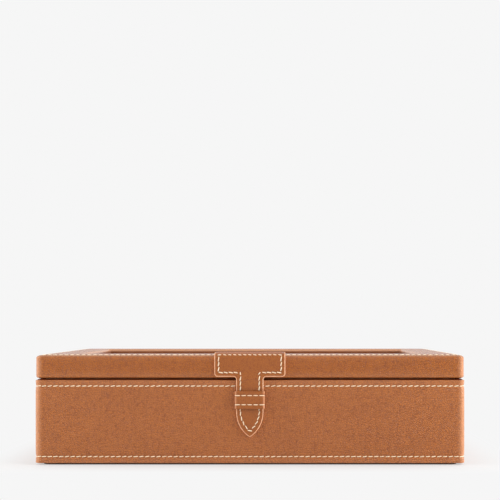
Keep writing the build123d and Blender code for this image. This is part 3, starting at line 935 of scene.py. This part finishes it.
def keeper_body():
    """The keeper: a strip of leather bent into a loop, its ends let into the front of the base."""
    bottom, top = keeper_low.z, keeper_high.z
    full, edge = keeper_leather, keeper_edge
    angles = [math.radians(30 * step) for step in range(4)]
    lower = [(edge - edge * math.cos(angle), bottom + edge - edge * math.sin(angle)) for angle in angles]
    lower += [(full - edge + edge * math.sin(angle), bottom + edge - edge * math.cos(angle))
              for angle in angles]
    section = list(lower)
    for row in reversed(keeper_rows):
        section += [(full - depth, row + distance)
                    for distance, depth in sewn_dip(keeper_dip, (0.45 * mm, 0.9 * mm, 1.6 * mm))]
    section += [(height, top + bottom - z) for height, z in reversed(lower)]
    build = bmesh.new()
    loops = [[build.verts.new((x, y, z)) for x, y in keeper_path(height)] for height, z in section]
    for index, loop in enumerate(loops):
        following = loops[(index + 1) % len(loops)]
        for step in range(len(loop) - 1):
            build.faces.new((loop[step], loop[step + 1], following[step + 1], following[step]))
    build.faces.new([loop[0] for loop in loops])
    build.faces.new([loop[-1] for loop in reversed(loops)])
    return finished_mesh("keeper", build, [finishes["keeper"]], 50.0)


def keeper_row(z):
    """A row of five long stitches across the front of the keeper."""
    return [(Vector((keeper_pitch * step, keeper_low.y + keeper_dip, z)), Vector((0, -1, 0)))
            for step in range(-2, 3)], False


def swell(form):
    """Swells a form by cloth simulation with air pressure inside, with its end seams held."""
    low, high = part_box("watch_pillow_1")
    seam_y = (high.y - low.y) / 2 - pillow_seam
    held = form.vertex_groups.new(name="seam")
    near = [vertex.index for vertex in form.data.vertices
            if abs(abs(vertex.co.y) - seam_y) < pillow_voxel * 0.6]
    held.add(near, 1.0, "REPLACE")
    cloth = form.modifiers.new("swelling", "CLOTH")
    settings = cloth.settings
    settings.quality = 6
    settings.mass = 0.2
    settings.bending_stiffness = 0.1
    settings.use_pressure = True
    settings.uniform_pressure_force = pillow_pressure
    settings.vertex_group_mass = "seam"
    settings.effector_weights.gravity = 0.0
    cloth.point_cache.frame_start = 1
    cloth.point_cache.frame_end = pillow_frames
    before = [vertex.co.copy() for vertex in form.data.vertices]
    for step in range(1, pillow_frames + 1):
        bpy.context.scene.frame_set(step)
    evaluated = form.evaluated_get(bpy.context.evaluated_depsgraph_get())
    after = [vertex.co.copy() for vertex in evaluated.data.vertices]
    form.modifiers.clear()
    bpy.context.scene.frame_set(1)
    for vertex, old, new in zip(form.data.vertices, before, after):
        move = new - old
        vertex.co = old + move * min(1.0, pillow_swell / max(move.length, 1e-9))


def pillow_form():
    """One pillow about the origin: soft filling in suede, swollen, with a seam round each end."""
    low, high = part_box("watch_pillow_1")
    half = (high - low) / 2
    build = bmesh.new()
    bmesh.ops.create_cube(build, size=2)
    bmesh.ops.subdivide_edges(build, edges=build.edges[:], cuts=9, use_grid_fill=True)
    for vertex in build.verts:
        size = sum(abs(part) ** pillow_squareness for part in vertex.co) ** (1 / pillow_squareness)
        vertex.co = Vector([part / size * (reach - pillow_shrink) for part, reach in zip(vertex.co, half)])
    form = finished_mesh("pillow_form", build, [finishes["pillow"]])
    remesh = form.modifiers.new("even faces", "REMESH")
    remesh.mode = "VOXEL"
    remesh.voxel_size = pillow_voxel
    remesh.use_smooth_shade = True
    apply_modifiers(form)
    swell(form)
    smooth = form.modifiers.new("smooth", "SUBSURF")
    smooth.levels = smooth.render_levels = 2
    apply_modifiers(form)
    corners = [[pick(vertex.co[axis] for vertex in form.data.vertices) for axis in range(3)]
               for pick in (min, max)]
    for vertex in form.data.vertices:
        vertex.co = Vector([(part - (first + last) / 2) * 2 * reach / (last - first)
                            for part, first, last, reach in zip(vertex.co, *corners, half)])
    return form


def apply_modifiers(piece):
    """Turns the piece's modifiers into plain mesh."""
    evaluated = piece.evaluated_get(bpy.context.evaluated_depsgraph_get())
    made = bpy.data.meshes.new_from_object(evaluated)
    piece.modifiers.clear()
    piece.data = made


def pillow(form, number):
    """A pillow in its bay: a copy of the form with its own end seams, puckers and unevenness.

    Every other one is turned round.
    """
    low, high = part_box("watch_pillow_%d" % number)
    centre, half = (low + high) / 2, (high - low) / 2
    piece = placed("suede_pillow_%d" % number, form.data.copy())
    mesh = piece.data
    normals = [vertex.normal.copy() for vertex in mesh.vertices]
    seam_y = half.y - pillow_seam
    turn = Vector((1, 1, 1)) if number % 2 else Vector((-1, -1, 1))
    drift = Vector((number * 3.7, number * 1.9, 0.0))
    for vertex, normal in zip(mesh.vertices, normals):
        place = vertex.co
        distance = abs(place.y) - seam_y
        around = math.atan2(place.z, place.x)
        groove = groove_depth * math.exp(-(distance / groove_reach) ** 2)
        wave = abs(math.sin(around * pucker_waves + number))
        pucker = pucker_depth * wave * math.exp(-abs(distance) / pucker_reach)
        uneven = uneven_depth * (0.5 + 0.5 * noise.noise(place / uneven_size + drift))
        vertex.co = place - normal * (groove + pucker + uneven)
    for vertex in mesh.vertices:
        vertex.co = Vector([part * side for part, side in zip(vertex.co, turn)]) + centre
    return piece


def dress_nodes():
    """Gives every carried-over node the finish of the first of these words that its name holds."""
    finish_of = {"pillow": "pillow", "liner": "lining", "lining": "lining", "divider": "lining", "bead": "lining",
                 "hinge": "brass", "board": "board", "rail": "board", "glass": "glass", "pad": "felt",
                 "cover": "rim", "strap": "strap"}
    for name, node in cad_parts.items():
        key = next(finish for word, finish in finish_of.items() if word in name)
        node.data.materials.clear()
        node.data.materials.append(finishes[key])


def build_object():
    """The pieces that dress the box; all but the strap and its stitches are set on the body that carries them."""
    base, rows = base_skin()
    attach(base, "case")
    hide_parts("base_cover")
    lid = lid_skin()
    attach(lid, "lid")
    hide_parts("lid_cover")
    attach(sew("base_stitches", [wall_row(row) for row in rows], seed=5), "case")
    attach(sew("lid_stitches", [lid_row()], seed=9), "lid")
    strap = strap_body()
    strap_thread = sew("strap_stitches", [strap_row()], 21, strap_pitch, strap_stitch, strap_thread_radius,
                       strap_slant)
    for piece in (strap, strap_thread):
        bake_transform(piece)
    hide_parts("strap_tab", "strap_tail")
    keeper = keeper_body()
    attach(keeper, "case")
    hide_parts("strap_keeper")
    keeper_thread = sew("keeper_stitches", [keeper_row(z) for z in keeper_rows], 33, keeper_pitch,
                        keeper_stitch, slant=0.0)
    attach(keeper_thread, "case")
    form = pillow_form()
    for number in range(1, pillow_count + 1):
        piece = pillow(form, number)
        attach(piece, "pillow_%d" % number)
        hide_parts("watch_pillow_%d" % number)
    bpy.data.objects.remove(form)


def grey(level):
    """A neutral colour by its linear level."""
    return (level, level, level, 1.0)


def studio_floor(background):
    """White paper that shows as the photograph's flat background, with the object's own shadow on it."""
    bpy.ops.mesh.primitive_plane_add(size=floor_size, location=(0, 0, 0))
    floor = bpy.context.object
    floor.name = "floor"
    finish = new_finish("white paper floor")
    across, along, _ = finish.axes()
    away = (abs(across) - base_high.x).most(abs(along) - base_high.y)
    glow = finish.add("ShaderNodeEmission", sockets={"Color": background, "Strength": 1.0})
    bounce = finish.add("ShaderNodeBsdfDiffuse", sockets={"Color": grey(bounce_tone)})
    shown = finish.add("ShaderNodeBsdfDiffuse", sockets={"Color": grey(floor_tone)})
    clear = away.step(0.0, shadow_reach) * shadow_share + (1 - shadow_share)
    faded = finish.add("ShaderNodeMixShader", sockets={0: clear, 1: shown, 2: glow})
    finish.output(finish.add("ShaderNodeMixShader", sockets={0: finish.backdrop_seen(), 1: bounce, 2: faded}))
    floor.data.materials.append(finish.owner)


def studio_surround(background):
    """White light from all round: brighter behind and to the right, and dimmer overhead and in front."""
    finish = Finish(bpy.data.worlds.new("white surround"), "Generated")
    bpy.context.scene.world = finish.owner

    def facing(direction):
        return finish.add("ShaderNodeVectorMath", {"operation": "DOT_PRODUCT"},
                          {0: finish.place, 1: Vector(direction).normalized()}, out="Value")

    behind = facing((0, 1, 0)).step(*behind_reach)
    right = facing(side_direction).step(*side_reach)
    overhead = 1 - facing((0, 0, 1)).step(*top_reach) * top_share
    level = (front_level + behind * back_level) * overhead + right * side_level
    light = finish.add("ShaderNodeBackground", sockets={"Color": grey(1.0), "Strength": level})
    shown = finish.add("ShaderNodeBackground", sockets={"Color": background, "Strength": 1.0})
    finish.output(finish.add("ShaderNodeMixShader", sockets={0: finish.backdrop_seen(), 1: light, 2: shown}),
                  "ShaderNodeOutputWorld")


def softbox(name, place, power):
    """A square lamp to one side, aimed at the box."""
    lamp = bpy.data.lights.new(name, "AREA")
    lamp.shape = "SQUARE"
    lamp.size = softbox_size
    lamp.energy = power
    holder = placed(name, lamp)
    holder.location = place
    aim = Vector(softbox_aim) - Vector(place)
    holder.rotation_euler = aim.to_track_quat("-Z", "Y").to_euler()


def photograph_camera():
    """The camera of the photograph: level, with its frame shifted up and to one side of its axis."""
    camera = bpy.data.cameras.new("camera")
    camera.sensor_width = sensor
    camera.lens = focal_pixels / picture * sensor
    camera.shift_x = (picture / 2 - axis_x_pixel) / picture
    camera.shift_y = (axis_y_pixel - picture / 2) / picture
    holder = placed("camera", camera)
    holder.location = (camera_right, base_low.y - camera_distance, camera_height)
    holder.rotation_euler = (math.radians(90), 0, 0)
    bpy.context.scene.camera = holder
    bpy.context.scene.view_settings.view_transform = "Standard"


dress_nodes()
build_object()
backdrop = srgb(paper, paper, paper)
studio_floor(backdrop)
studio_surround(backdrop)
softbox("right softbox", right_softbox, right_power)
softbox("left softbox", left_softbox, left_power)
photograph_camera()
